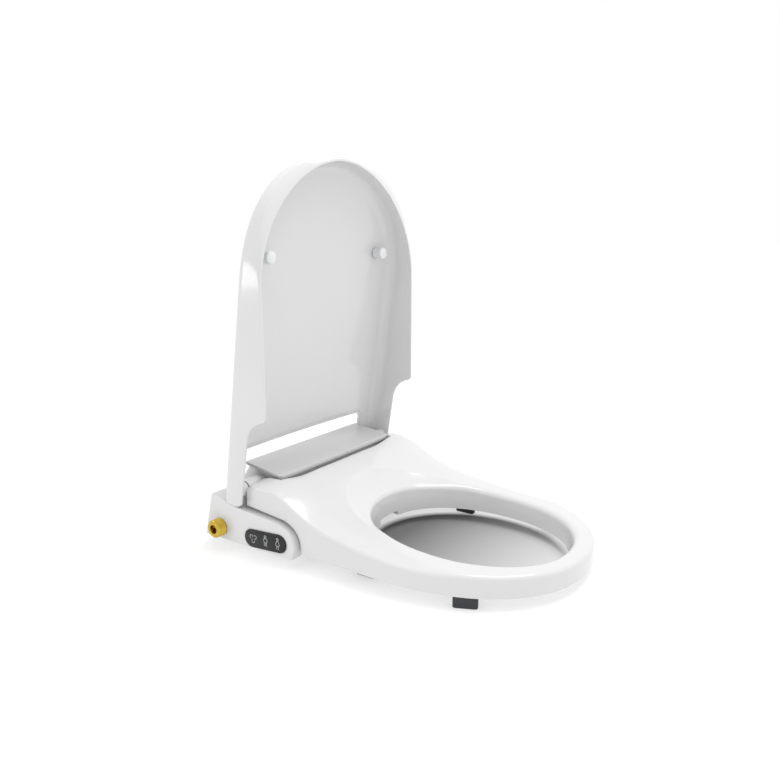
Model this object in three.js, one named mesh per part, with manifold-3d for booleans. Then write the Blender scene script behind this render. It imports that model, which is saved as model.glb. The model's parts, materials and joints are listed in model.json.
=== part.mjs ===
// Electric bidet seat with a soft-close lid, a heated seat ring, two washing wands and a dryer.
// Millimetres, +Z up, the user faces -Y. The origin lies on the rim of the bowl, midway
// between the two fixing bolts. The lid is modelled standing open.
import * as THREE from "three";
import { mergeVertices } from "three/addons/utils/BufferGeometryUtils.js";
import Module from "manifold-3d";

const wasm = await Module();
wasm.setup();

// ---------- driving dimensions ----------
const GAP = 0.4; // between pieces that touch
const PIVOT = { y: -3, z: 91 }; // common hinge line of the lid and the seat
const PIN_R = 5;
const BUSH_R = 8;
const SEGMENTS = 24;

const LID = { half: 185, wall: 2.8, straightTop: 384, top: 563, power: 2.4, edge: 14, crown: 9 };
const RIM = { y: -68, top: 560, power: 1.9, chamfer: 6 }; // the lid's front edge, rounder than its body
const LID_FILLET = 12; // inside the lid, between its wall and its back
const LID_CUT = { half: 142, top: 140, corner: 8 };
const BASE = { half: 184, wall: 2.5 };
const BLOCK_HALF = 128; // the raised middle of the base, between the seat's ears
const SEAT = { half: 175, rear: -17, straightEnd: -230, front: -460, wall: 3, edge: 5, power: 2.2 };
const OPENING = { half: 121, middle: -286, halfLength: 146, power: 2.2, taper: 5 };
const SCOOP = { lip: 9, lipDepth: 4, rear: 45, rearDepth: 11 }; // widths and depths of the dip round the opening
const SEAT_CLEAR_R = 52.5; // the ring's middle rear edge stays outside this radius from the pivot
const SEAT_REACH = 142; // inner faces of the seat's ears
const PLATE = { half: 138, front: -50, rear: 24 };
const WAND = { radius: 6, spacing: 26, length: 153, tilt: THREE.MathUtils.degToRad(18), tipY: -109, tipZ: 27 };
const GEAR = { module: 1.2, teeth: 12, addendum: 0.9, dedendum: 1.3, along: 88 };
const RACK = { start: 78, base: 6.3, root: 8.3, half: 3.5 };
const INLET = { y: 30, z: 31, radius: 13.2, neck: 6.6, bore: 6.7, reach: 199 };
const FAN = { x: 99, y: 2, z: 43, radius: 19, width: 18 };

// Heights of surfaces against y, as a few points joined by straight lines.
const LID_BACK = [[60, 26.5], [562, -46.5]];
const SHOULDER = [[-463, 37], [-400, 39], [-300, 43], [-230, 49], [-168, 58.5], [-140, 66], [-113, 77],
  [-80, 95], [-46, 103], [-17, 98]];
const SEAT_MIDDLE = [[-463, 42], [-300, 50], [-230, 54], [-168, 62], [-140, 69.5], [-113, 81], [-80, 98],
  [-55, 105.5], [-17, 105.5]];
const SEAT_UNDER = [[-463, 15], [-118, 20]];
// Side views of the room that the seat leaves over the base, and over the wands in the middle.
const OVER_BASE = [[-118, -20], [-118, 24], [-116.5, 36], [-111, 49], [-101, 58], [-87, 63.6], [-8.6, 72],
  [40, 83], [40, -20]];
const OVER_WANDS = [[-170, -20], [-170, 20], [-142, 27], [-112, 38], [-90, 44], [-90, -20]];
const BASE_SIDE = [[-107.5, 11.5], [64, 11.5], [48, 79.4], [-8.6, 67], [-45, 63.5], [-85, 58.6], [-98, 53],
  [-106.6, 46], [-111, 37], [-112.3, 29]];
const BLOCK_SIDE = [[-44, 50], [46, 50], [46, 78], [20, 115.9], [-44, 105.9]];
const LID_FRONT_EDGE = [[-68, 207], [-56, 203], [-43, 195], [-33, 182], [-28.5, 170], [-15.3, 73.6]];
const ARM_FOOT = { y: 1.8, z: 70 }; // lowest point of the lid's arm, straight below the pivot

// ---------- materials ----------
const finish = (color, roughness, metalness = 0) => new THREE.MeshStandardMaterial({ color, roughness, metalness });
const WHITE = finish(0xf1f2f3, 0.25);
const GREY = finish(0xb9bcc0, 0.5);
const BLACK = finish(0x17181a, 0.15);
const RUBBER = finish(0x5a5c5f, 0.8);
const BRASS = finish(0xc9a14a, 0.35, 1);
const STEEL = finish(0xc4c7cb, 0.3, 1);
const BOARD = finish(0x1f6b45, 0.6);
const HOSE = finish(0xd8dadc, 0.4);

// ---------- small tools ----------
const mix = (a, b, t) => a + (b - a) * t;
const step = (a, b, v) => THREE.MathUtils.smoothstep(v, a, b);

function along(table, at) {
  const last = table.length - 1;
  if (at <= table[0][0]) return table[0][1];
  if (at >= table[last][0]) return table[last][1];
  const i = table.findIndex(([x]) => x > at) - 1;
  const [[x0, v0], [x1, v1]] = [table[i], table[i + 1]];
  return mix(v0, v1, (at - x0) / (x1 - x0));
}

// A solid from a geometry. Faces that point inwards are turned round.
function solidOf(geometry) {
  const bare = geometry.index ? geometry.toNonIndexed() : geometry.clone();
  bare.deleteAttribute("normal");
  bare.deleteAttribute("uv");
  const merged = mergeVertices(bare, 1e-4);
  const vertProperties = merged.attributes.position.array;
  const triVerts = new Uint32Array(merged.index.array);
  const solid = new wasm.Manifold(new wasm.Mesh({ numProp: 3, vertProperties, triVerts }));
  if (solid.volume() >= 0) return solid;
  for (let i = 1; i < triVerts.length; i += 3) {
    [triVerts[i], triVerts[i + 1]] = [triVerts[i + 1], triVerts[i]];
  }
  return new wasm.Manifold(new wasm.Mesh({ numProp: 3, vertProperties, triVerts }));
}

function geometryOf(solid) {
  const mesh = solid.getMesh();
  const geometry = new THREE.BufferGeometry();
  geometry.setAttribute("position", new THREE.BufferAttribute(mesh.vertProperties, 3));
  geometry.setIndex(new THREE.BufferAttribute(mesh.triVerts, 1));
  return geometry;
}

const join = (first, ...rest) => geometryOf(rest.reduce((a, g) => a.add(solidOf(g)), solidOf(first)));
const cut = (first, ...rest) => geometryOf(rest.reduce((a, g) => a.subtract(solidOf(g)), solidOf(first)));
const overlap = (a, b) => geometryOf(solidOf(a).intersect(solidOf(b)));

function box(x, y, z) {
  const geometry = new THREE.BoxGeometry(x[1] - x[0], y[1] - y[0], z[1] - z[0]);
  return geometry.translate((x[0] + x[1]) / 2, (y[0] + y[1]) / 2, (z[0] + z[1]) / 2);
}

// A cylinder along "x", "y" or "z" from one end to the other.
function rod(axis, radius, from, to, a = 0, b = 0, segments = SEGMENTS) {
  const geometry = new THREE.CylinderGeometry(radius, radius, Math.abs(to - from), segments);
  const middle = (from + to) / 2;
  if (axis === "x") return geometry.rotateZ(Math.PI / 2).translate(middle, a, b);
  if (axis === "y") return geometry.translate(a, middle, b);
  return geometry.rotateX(Math.PI / 2).translate(a, b, middle);
}

const shapeOf = (points) => new THREE.Shape(points.map(([a, b]) => new THREE.Vector2(a, b)));

// A (y, z) outline extruded along X.
function across(points, x0, x1) {
  const geometry = new THREE.ExtrudeGeometry(shapeOf(points), { depth: x1 - x0, bevelEnabled: false });
  const turn = new THREE.Matrix4().set(0, 0, 1, x0, 1, 0, 0, 0, 0, 1, 0, 0, 0, 0, 0, 1);
  return geometry.applyMatrix4(turn);
}

// An (x, y) shape extruded along Z.
function upright(shape, z0, z1) {
  const settings = { depth: z1 - z0, bevelEnabled: false, curveSegments: 3 };
  return new THREE.ExtrudeGeometry(shape, settings).translate(0, 0, z0);
}

// An (x, z) shape extruded from y0 back to y1.
function backwards(shape, y0, y1) {
  const settings = { depth: y1 - y0, bevelEnabled: false, curveSegments: 4 };
  return new THREE.ExtrudeGeometry(shape, settings).rotateX(Math.PI / 2).translate(0, y1, 0);
}

function roundedRectangle(x, y, radius) {
  const shape = new THREE.Shape();
  shape.moveTo(x[0] + radius, y[0]);
  shape.lineTo(x[1] - radius, y[0]);
  shape.absarc(x[1] - radius, y[0] + radius, radius, -Math.PI / 2, 0);
  shape.lineTo(x[1], y[1] - radius);
  shape.absarc(x[1] - radius, y[1] - radius, radius, 0, Math.PI / 2);
  shape.lineTo(x[0] + radius, y[1]);
  shape.absarc(x[0] + radius, y[1] - radius, radius, Math.PI / 2, Math.PI);
  shape.lineTo(x[0], y[0] + radius);
  shape.absarc(x[0] + radius, y[0] + radius, radius, Math.PI, 1.5 * Math.PI);
  return shape;
}

// An outline moved inwards by a wall thickness, its corners kept sharp.
function inset(points, wall) {
  const area = points.reduce((sum, [x, y], i) => {
    const [u, v] = points[(i + 1) % points.length];
    return sum + x * v - u * y;
  }, 0);
  const side = Math.sign(area) * wall;
  const edges = points.map(([x, y], i) => {
    const [u, v] = points[(i + 1) % points.length];
    const length = Math.hypot(u - x, v - y);
    const [dx, dy] = [(u - x) / length, (v - y) / length];
    return [x - dy * side, y + dx * side, dx, dy];
  });
  return edges.map(([x, y, dx, dy], i) => {
    const [u, v, du, dv] = edges[(i + edges.length - 1) % edges.length];
    const t = ((u - x) * dv - (v - y) * du) / (dx * dv - dy * du);
    return [x + dx * t, y + dy * t];
  });
}

function tube(points, radius, sides = 8) {
  const path = new THREE.CatmullRomCurve3(points.map((p) => new THREE.Vector3(...p)));
  const section = Array.from({ length: sides }, (_, i) => {
    const angle = (2 * Math.PI * i) / sides;
    return [radius * Math.cos(angle), radius * Math.sin(angle)];
  });
  const settings = { steps: points.length * 3, extrudePath: path, bevelEnabled: false };
  return new THREE.ExtrudeGeometry(shapeOf(section), settings);
}

// Faces between loops of equal length. "Joined" loops close into a ring; others get end caps.
function skin(loops, joined, flat) {
  const count = loops[0].length;
  const positions = loops.flat(2);
  const faces = [];
  const rows = joined ? loops.length : loops.length - 1;
  for (let i = 0; i < rows; i++) {
    for (let j = 0; j < count; j++) {
      const next = (j + 1) % count;
      const [a, b] = [i * count + j, i * count + next];
      const [d, c] = [((i + 1) % loops.length) * count + j, ((i + 1) % loops.length) * count + next];
      faces.push(a, b, c, a, c, d);
    }
  }
  if (!joined) {
    const ends = [loops[0], loops[loops.length - 1]];
    ends.forEach((loop, k) => {
      const start = k * (loops.length - 1) * count;
      const contour = loop.map((p) => new THREE.Vector2(...flat(p)));
      THREE.ShapeUtils.triangulateShape(contour, []).forEach(([a, b, c]) => {
        faces.push(start + a, start + (k ? b : c), start + (k ? c : b));
      });
    });
  }
  const geometry = new THREE.BufferGeometry();
  geometry.setAttribute("position", new THREE.Float32BufferAttribute(positions, 3));
  return geometry.setIndex(faces);
}

const root = new THREE.Group();

function add(name, geometry, material, parent = root) {
  const mesh = new THREE.Mesh(geometry, material);
  mesh.name = name;
  parent.add(mesh);
  return mesh;
}

const SIDES = [["left", -1], ["right", 1]];
const span = (side, a, b) => (side > 0 ? [a, b] : [-b, -a]);

// ---------- lid ----------
// The lid's outline in (x, z), moved inwards: two straight sides under a flattened arch.
function lidOutline(inwards, bottom, { top, power }) {
  const [half, rise] = [LID.half - inwards, top - LID.straightTop - inwards];
  const points = [[half, bottom], [half, 150], [half, 270]];
  const arch = 26;
  for (let i = 0; i <= arch; i++) {
    const angle = (Math.PI * i) / arch;
    const [c, s] = [Math.cos(angle), Math.sin(angle)];
    const x = half * Math.sign(c) * Math.abs(c) ** (2 / power);
    points.push([x, LID.straightTop + rise * Math.abs(s) ** (2 / power)]);
  }
  points.push([-half, 270], [-half, 150], [-half, bottom]);
  return points;
}

const lidBack = (x, z) => along(LID_BACK, z) + LID.crown * (1 - (x / LID.half) ** 2);

// The solid inside one face of the lid: straight loops at the front, a rounded edge and a crowned back.
function lidBody(fronts, { wall, radius, bottom, arch }) {
  const loops = fronts.map(({ y, shape }) => lidOutline(wall, bottom, shape).map(([x, z]) => [x, y, z]));
  const back = (inwards, drop) =>
    lidOutline(wall + inwards, bottom, arch).map(([x, z]) => [x, lidBack(x, z) - wall - drop, z]);
  for (const degrees of [0, 30, 60, 90]) {
    const angle = THREE.MathUtils.degToRad(degrees);
    loops.push(back(radius * (1 - Math.cos(angle)), radius * (1 - Math.sin(angle))));
  }
  loops.push(back(50, 0), back(100, 0));
  return skin(loops, false, ([x, , z]) => [x, z]);
}

function lidShell() {
  const below = [[-100, 30], [-100, 207], ...LID_FRONT_EDGE];
  const radius = PIVOT.z - ARM_FOOT.z + 0.3;
  for (let degrees = 226; degrees <= 270; degrees += 11) {
    const angle = THREE.MathUtils.degToRad(degrees);
    below.push([PIVOT.y + radius * Math.cos(angle), PIVOT.z + radius * Math.sin(angle)]);
  }
  below.push([ARM_FOOT.y, ARM_FOOT.z], [70, 85], [70, 30]);
  const window = roundedRectangle([-LID_CUT.half, LID_CUT.half], [20, LID_CUT.top], LID_CUT.corner);
  const bosses = SIDES.map(([, side]) => rod("x", 12, side * 168, side * 183.5, PIVOT.y, PIVOT.z));
  const bores = SIDES.map(([, side]) => rod("x", BUSH_R + GAP, side * 160, side * 181, PIVOT.y, PIVOT.z));
  const outside = [{ y: RIM.y, shape: RIM }, { y: RIM.y + RIM.chamfer, shape: LID }];
  const inside = [{ y: RIM.y - 5, shape: RIM }];
  const tray = cut(
    lidBody(outside, { wall: 0, radius: LID.edge, bottom: 50, arch: LID }),
    lidBody(inside, { wall: LID.wall, radius: LID_FILLET, bottom: 45, arch: RIM }),
    across(below, -200, 200),
    backwards(window, -100, 100),
  );
  return cut(join(tray, ...bosses), ...bores);
}

add("lid_shell", lidShell(), WHITE);
for (const [name, side] of SIDES) {
  const at = { x: side * 135, z: 422 };
  const surface = lidBack(at.x, at.z + 7) - LID.wall - GAP;
  add("lid_bumper_" + name, rod("y", 9.5, -45, surface - 0.9, at.x, at.z, 24), RUBBER);
  const bush = cut(
    rod("x", BUSH_R, side * 169, side * 180.6, PIVOT.y, PIVOT.z),
    rod("x", PIN_R + 0.5, side * 160, side * 190, PIVOT.y, PIVOT.z),
  );
  add("lid_bush_" + name, bush, GREY);
}

// ---------- seat ring ----------
const insideSeat = (x, y) =>
  Math.abs(x) <= SEAT.half &&
  y <= SEAT.rear &&
  (y >= SEAT.straightEnd ||
    (Math.abs(x) / SEAT.half) ** SEAT.power +
      ((SEAT.straightEnd - y) / (SEAT.straightEnd - SEAT.front)) ** SEAT.power <= 1);

// Directions round the opening, with the two rear corners of the seat among them.
function seatDirections() {
  const count = 52;
  const corner = Math.atan2(SEAT.rear - OPENING.middle, SEAT.half);
  const angles = Array.from({ length: count }, (_, i) => (2 * Math.PI * i) / count);
  for (const exact of [corner, Math.PI - corner]) {
    const distances = angles.map((angle) => Math.abs(angle - exact));
    angles[distances.indexOf(Math.min(...distances))] = exact;
  }
  return angles;
}

function seatEdge(angle) {
  let [low, high] = [0, 500];
  for (let i = 0; i < 40; i++) {
    const r = (low + high) / 2;
    if (insideSeat(r * Math.cos(angle), OPENING.middle + r * Math.sin(angle))) low = r;
    else high = r;
  }
  return low;
}

function openingEdge(angle) {
  const [c, s] = [Math.abs(Math.cos(angle)), Math.abs(Math.sin(angle))];
  const power = OPENING.power;
  return ((c / OPENING.half) ** power + (s / OPENING.halfLength) ** power) ** (-1 / power);
}

// How far the seat dips towards its opening: a broad scoop behind it, a narrow lip elsewhere.
function scoop(x, y) {
  const [length, angle] = [Math.hypot(x, y - OPENING.middle), Math.atan2(y - OPENING.middle, x)];
  const behind = Math.max(0, 2 * Math.sin(angle) - 1) ** 1.5;
  const near = 1 - (length - openingEdge(angle)) / mix(SCOOP.lip, SCOOP.rear, behind);
  return mix(SCOOP.lipDepth, SCOOP.rearDepth, behind) * THREE.MathUtils.clamp(near, 0, 1);
}

function seatCrown(x, y) {
  const width = Math.abs(x);
  const side = along(SHOULDER, y) + 5 * step(0, 30, SEAT.half - width);
  return mix(along(SEAT_MIDDLE, y), side, step(90, 150, width));
}

const seatTop = (x, y) => seatCrown(x, y) - scoop(x, y);

const seatUnder = (x, y) => along(SEAT_UNDER, y);

// A ring between two heights, held in from both edges by "wall" and topped "below" the surface.
function seatRing(wall, top, bottom, edge, taper) {
  const loops = seatDirections().map((angle) => {
    const [outer, inner] = [seatEdge(angle) - wall, openingEdge(angle) + wall];
    const place = (r, height) => {
      const [x, y] = [r * Math.cos(angle), OPENING.middle + r * Math.sin(angle)];
      return [x, y, height(x, y)];
    };
    const under = (drop) => (x, y) => Math.max(top(x, y) - drop, bottom(x, y) + 1);
    const width = outer - inner;
    return [
      place(outer, bottom),
      place(outer, under(edge)),
      place(outer - edge * 0.3, under(edge * 0.3)),
      place(outer - edge, under(0)),
      place(inner + width * 0.62, under(0)),
      place(inner + width * 0.3, under(0)),
      place(inner + edge, under(1)),
      place(inner, under(edge)),
      place(inner - taper, bottom),
      place(inner + width * 0.3, bottom),
      place(inner + width * 0.62, bottom),
    ];
  });
  return skin(loops, true);
}

const clearOfBlock = (radius, half) => rod("x", radius, -half, half, PIVOT.y, PIVOT.z, 64);

// What the underside of the seat leaves free, grown by a distance: the base and the wands' way out.
const overBase = (grow) => across(inset(OVER_BASE, -grow), -200, 200);
const overWands = (grow) => across(inset(OVER_WANDS, -grow), -24 - grow, 24 + grow);

function seatTopShell() {
  const outside = cut(
    seatRing(0, seatTop, seatUnder, SEAT.edge, OPENING.taper),
    clearOfBlock(SEAT_CLEAR_R, SEAT_REACH),
    overBase(0),
    overWands(0),
  );
  const hollow = cut(
    seatRing(SEAT.wall, (x, y) => seatTop(x, y) - SEAT.wall, (x, y) => seatUnder(x, y) - 6, 2, OPENING.taper),
    clearOfBlock(SEAT_CLEAR_R + SEAT.wall, SEAT_REACH + SEAT.wall),
  );
  const webSlots = SIDES.map(([, side]) => box(span(side, 147.5, 163.5), [-24, -10], [60, 94]));
  return cut(outside, hollow, ...webSlots);
}

function seatBottomShell() {
  const inwards = SEAT.wall + GAP;
  const thick = 2.6;
  const raised = (height) => (x, y) => seatUnder(x, y) + height;
  const inside = seatRing(inwards, (x, y) => seatTop(x, y) - SEAT.wall - 2, raised(GAP), 2, OPENING.taper - 2);
  const flat = seatRing(inwards, raised(GAP + thick), raised(GAP), 1, OPENING.taper - 2);
  const raisedPart = overlap(inside, join(overBase(GAP + thick), overWands(GAP + thick)));
  const plate = cut(
    join(flat, raisedPart),
    clearOfBlock(SEAT_CLEAR_R + inwards, SEAT_REACH + inwards),
    overBase(GAP),
    overWands(GAP),
  );
  const lugs = SIDES.map(([, side]) => rod("x", 13, side * 132, side * 166, PIVOT.y, PIVOT.z));
  const webs = SIDES.map(([, side]) => box(span(side, 148, 163), [-34, -10], [73.5, 90.5]));
  const bores = SIDES.map(([, side]) => rod("x", BUSH_R + GAP, side * 120, side * 170, PIVOT.y, PIVOT.z));
  return cut(join(plate, ...lugs, ...webs), ...bores);
}

add("seat_top_shell", seatTopShell(), WHITE);
add("seat_bottom_shell", seatBottomShell(), WHITE);

const foil = cut(
  seatRing(
    SEAT.wall + 9,
    (x, y) => seatCrown(x, y) - SEAT.wall - 2,
    (x, y) => seatCrown(x, y) - SEAT.wall - 3.5,
    0.4,
    0,
  ),
  box([-200, 200], [-216, 50], [0, 200]),
);
add("seat_heater_foil", foil, STEEL);

for (const [name, side] of SIDES) {
  const bush = cut(
    rod("x", BUSH_R, side * 132.4, side * 165.6, PIVOT.y, PIVOT.z),
    rod("x", PIN_R + 0.5, side * 120, side * 180, PIVOT.y, PIVOT.z),
  );
  add("seat_bush_" + name, bush, GREY);
}

const FEET = [["front_left", -142.7, -356.6, 0.43], ["front_right", 142.7, -356.6, -0.43],
  ["rear_left", -140, -205, 0], ["rear_right", 140, -205, 0]];
for (const [name, x, y, turn] of FEET) {
  const block = upright(roundedRectangle([-6, 6], [-16, 16], 4), 0, seatUnder(x, y) - GAP);
  const foot = add("seat_foot_" + name, block, RUBBER);
  foot.rotation.z = turn;
  foot.position.set(x, y, 0);
}

// ---------- hinge pins and dampers ----------
for (const [name, side] of SIDES) {
  add("hinge_pin_" + name, rod("x", PIN_R, side * 113, side * 180.4, PIVOT.y, PIVOT.z), STEEL);
  const damper = cut(
    rod("x", 9.5, side * 66, side * (BLOCK_HALF - BASE.wall - GAP), PIVOT.y, PIVOT.z),
    rod("x", PIN_R + GAP, side * 112.5, side * 140, PIVOT.y, PIVOT.z),
  );
  add(side < 0 ? "lid_damper" : "seat_damper", damper, BLACK);
}

// ---------- base ----------
const outletHole = box([-24, 24], [-130, -104], [18, 44]);
const dryerHole = box([89, 109], [-130, -104], [21, 35]);

function mainHousing() {
  const low = across(BASE_SIDE, -BASE.half, BASE.half);
  const block = across(BLOCK_SIDE, -BLOCK_HALF, BLOCK_HALF);
  const lowHollow = across(
    inset(BASE_SIDE, BASE.wall).map(([y, z]) => [y, z < 20 ? 5 : z]),
    -BASE.half + BASE.wall,
    BASE.half - BASE.wall,
  );
  const blockHollow = across(
    inset(BLOCK_SIDE, BASE.wall).map(([y, z]) => [y, z < 60 ? 40 : z]),
    -BLOCK_HALF + BASE.wall,
    BLOCK_HALF - BASE.wall,
  );
  const pinHoles = SIDES.map(([, side]) => rod("x", PIN_R + GAP, side * 118, side * 135, PIVOT.y, PIVOT.z));
  return cut(
    join(low, block),
    lowHollow,
    blockHollow,
    ...pinHoles,
    outletHole,
    dryerHole,
    rod("x", INLET.neck + GAP, -190, -175, INLET.y, INLET.z),
    rod("x", 9.4, 175, 190, -60, 32),
    rod("x", 7.4, 175, 190, 40, 30),
  );
}

add("main_housing", mainHousing(), WHITE);

const trayHalf = BASE.half - BASE.wall - GAP;
const trayScrews = [[-150, -80], [150, -80], [-150, 45], [150, 45]];
const trayHoles = trayScrews.map(([x, y]) => rod("z", 2.4, 5, 20, x, y, 12));
add("chassis_tray", cut(box([-trayHalf, trayHalf], [-104, 57], [11.8, 14.3]), ...trayHoles), WHITE);
trayScrews.forEach(([x, y], i) => {
  const screw = join(rod("z", 1.9, 11, 24, x, y, 12), rod("z", 3.6, 9.6, 11.4, x, y, 12));
  add("tray_screw_" + (i + 1), screw, STEEL);
});

const PLATE_SIDE = [[PLATE.front, 104], [PLATE.front, 109.2], [-48.5, 110.4], [20, 120.9], [PLATE.rear, 119.6],
  [PLATE.rear, 117], [-45.6, 106.4], [-45.6, 104]];
const plateCorners = roundedRectangle([-PLATE.half, PLATE.half], [PLATE.front, PLATE.rear], 7);
const plateTrim = cut(box([-150, 150], [-60, 40], [95, 130]), upright(plateCorners, 90, 135));
add("cover_plate", cut(across(PLATE_SIDE, -PLATE.half, PLATE.half), plateTrim), WHITE);

// Control panel: a black lozenge set into the side that the user's right hand reaches.
const PANEL = { rear: -34, front: -86, rearZ: 28.5, frontZ: 32, radius: 13.5 };
function lozenge(radius, x0, x1) {
  const points = [];
  const rise = Math.atan2(PANEL.frontZ - PANEL.rearZ, PANEL.front - PANEL.rear);
  for (const [y, z, start] of [[PANEL.front, PANEL.frontZ, -90], [PANEL.rear, PANEL.rearZ, 90]]) {
    for (let i = 0; i <= 10; i++) {
      const angle = rise + THREE.MathUtils.degToRad(start + 18 * i);
      points.push([y + radius * Math.cos(angle), z + radius * Math.sin(angle)]);
    }
  }
  return across(points, x0, x1);
}
add("control_panel", lozenge(PANEL.radius, -186, -184.4), BLACK);
add("panel_board", box([-180.8, -179], [-96, -24], [20, 40]), BOARD);

// ---------- water path ----------
const inlet = cut(
  join(
    rod("x", INLET.radius, -INLET.reach, -BASE.half - GAP, INLET.y, INLET.z),
    rod("x", INLET.neck, -186, -172, INLET.y, INLET.z),
    rod("x", 9, -181, -177, INLET.y, INLET.z, 6),
  ),
  rod("x", INLET.bore, -INLET.reach - 5, -188, INLET.y, INLET.z),
);
add("inlet_fitting", inlet, BRASS);
add("solenoid_valve", join(box([-171.6, -146], [9, 37], [19, 43]), rod("z", 9, 42, 60, -158, 23, 16)), GREY);
add("water_heater", rod("x", 20, -118, -56, 2, 38), STEEL);
add("diverter_valve", rod("z", 11, 15, 40, 57, 16, 20), GREY);
add("diverter_motor", rod("z", 9, 40.4, 58, 57, 16, 20), STEEL);
add("feed_hose", tube([[-145, 23, 30], [-139, 22, 30], [-126, 6, 32], [-119, 5, 32]], 4), HOSE);
add("heater_hose", tube([[-55, 3, 28], [-46, 4, 27], [-25, 15, 20], [25, 16, 20], [38, 16, 24], [45, 16, 24]], 4), HOSE);

// ---------- washing wands and their drive ----------
// Local frame of the drive: -Y runs out of the base and down, and Z is square to the wands.
const drive = new THREE.Group();
drive.position.set(0, WAND.tipY, WAND.tipZ);
drive.rotation.x = WAND.tilt;
root.add(drive);

const pitchRadius = (GEAR.module * GEAR.teeth) / 2;
const pitch = Math.PI * GEAR.module;
const pitchLine = RACK.root + GEAR.dedendum;
const gearHeight = pitchLine + pitchRadius;

function rackOutline() {
  const points = [[RACK.start, RACK.base], [WAND.length, RACK.base], [WAND.length, RACK.root]];
  const teeth = Math.floor((WAND.length - RACK.start - 2) / pitch);
  const firstSpace = Math.ceil((WAND.length - GEAR.along) / pitch);
  let made = 0;
  for (let k = firstSpace; made < teeth; k--) {
    const middle = GEAR.along + (k - 0.5) * pitch;
    if (middle + pitch / 2 > WAND.length - 0.2) continue;
    if (middle - pitch / 2 < RACK.start + 0.2) break;
    points.push([middle + 1.2, RACK.root], [middle + 0.45, RACK.root + GEAR.dedendum + GEAR.addendum]);
    points.push([middle - 0.45, RACK.root + GEAR.dedendum + GEAR.addendum], [middle - 1.2, RACK.root]);
    made++;
  }
  points.push([RACK.start, RACK.root]);
  return points;
}

function pinionOutline() {
  const points = [];
  for (let i = 0; i < GEAR.teeth; i++) {
    const middle = -Math.PI / 2 + (2 * Math.PI * i) / GEAR.teeth;
    for (const [radius, half] of [[-GEAR.dedendum, -1.0], [GEAR.addendum, -0.35], [GEAR.addendum, 0.35],
      [-GEAR.dedendum, 1.0]]) {
      const r = pitchRadius + radius;
      points.push([r * Math.cos(middle + half / r), r * Math.sin(middle + half / r)]);
    }
  }
  return points;
}

for (const [name, side] of [["front", -1], ["rear", 1]]) {
  const x = (side * WAND.spacing) / 2;
  const wand = join(
    rod("y", WAND.radius, 6, WAND.length, x, 0, 20),
    rod("y", WAND.radius - 0.8, 0, 7, x, 0, 20),
  );
  const sprayHole = rod("z", 1, -20, 0, x, 9, 12);
  add(name + "_nozzle_wand", cut(wand, sprayHole), STEEL, drive);
  add(name + "_nozzle_rack", across(rackOutline(), x - RACK.half, x + RACK.half), GREY, drive);
  const gear = join(
    across(pinionOutline(), x - RACK.half + 0.3, x + RACK.half - 0.3),
    rod("x", 2.4, x, side * 25, 0, 0, 12),
  ).translate(0, GEAR.along, gearHeight);
  add(name + "_drive_pinion", gear, GREY, drive);
  const motor = cut(rod("x", 10.5, side * 20, side * 38, 0, 0), rod("x", 2.9, side * 10, side * 25.6, 0, 0, 12));
  add(name + "_nozzle_motor", motor.translate(0, GEAR.along, gearHeight), STEEL, drive);
}

const guideBores = [-1, 1].map((side) => rod("y", WAND.radius + GAP, 0, 60, (side * WAND.spacing) / 2, 0, 20));
add("nozzle_guide", cut(box([-23, 23], [10, 50], [-9, 4.4]), ...guideBores), GREY, drive);

// ---------- warm-air dryer ----------
const scroll = join(
  rod("x", FAN.radius + 4.5, FAN.x - FAN.width / 2 - 2, FAN.x + FAN.width / 2 + 2, FAN.y, FAN.z, 32),
  box([FAN.x - 11, FAN.x + 11], [-40, FAN.y], [FAN.z - FAN.radius - 4.5, FAN.z - 7]),
);
const scrollHollow = [
  rod("x", FAN.radius + 2.5, FAN.x - FAN.width / 2, FAN.x + FAN.width / 2, FAN.y, FAN.z, 32),
  box([FAN.x - 9, FAN.x + 9], [-45, FAN.y], [FAN.z - FAN.radius - 2.5, FAN.z - 9]),
  rod("x", 12, FAN.x + FAN.width / 2 - 1, FAN.x + 20, FAN.y, FAN.z, 24),
  rod("x", 3, FAN.x - 20, FAN.x, FAN.y, FAN.z, 12),
];
add("fan_scroll", cut(scroll, ...scrollHollow), GREY);

const blades = Array.from({ length: 9 }, (_, i) =>
  box([-7.6, 7.6], [-0.7, 0.7], [8, FAN.radius]).rotateX((2 * Math.PI * i) / 9),
);
const wheel = join(
  rod("x", FAN.radius, -8, -6.6, 0, 0, 27),
  rod("x", 5, -8, 4, 0, 0, 18),
  rod("x", 2.2, -22, -7, 0, 0, 12),
  ...blades,
);
add("fan_wheel", wheel, BLACK).position.set(FAN.x, FAN.y, FAN.z);
const fanMotor = cut(
  rod("x", 14, FAN.x - 28, FAN.x - 12, FAN.y, FAN.z),
  rod("x", 2.8, FAN.x - 22.6, FAN.x, FAN.y, FAN.z, 12),
);
add("fan_motor", fanMotor, STEEL);
const ductZ = [FAN.z - FAN.radius - 4, FAN.z - 7.5];
add("dryer_duct", cut(
  box([FAN.x - 11, FAN.x + 11], [-106, -40.6], ductZ),
  box([FAN.x - 9, FAN.x + 9], [-120, -30], [ductZ[0] + 2, ductZ[1] - 2]),
), GREY);
add("dryer_heater", box([FAN.x - 7, FAN.x + 7], [-80, -56], [ductZ[0] + 3, ductZ[1] - 3]), STEEL);

// ---------- electrics ----------
add("control_board", box([-58, 58], [-34, 12], [92, 93.6]), BOARD);
add("power_module", box([46, 84], [-46, -15], [16, 40]), BLACK);
const gland = cut(rod("x", 7, 172, 196, 40, 30), rod("x", 3.4, 165, 200, 40, 30, 16));
add("cord_gland", gland, RUBBER);

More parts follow.
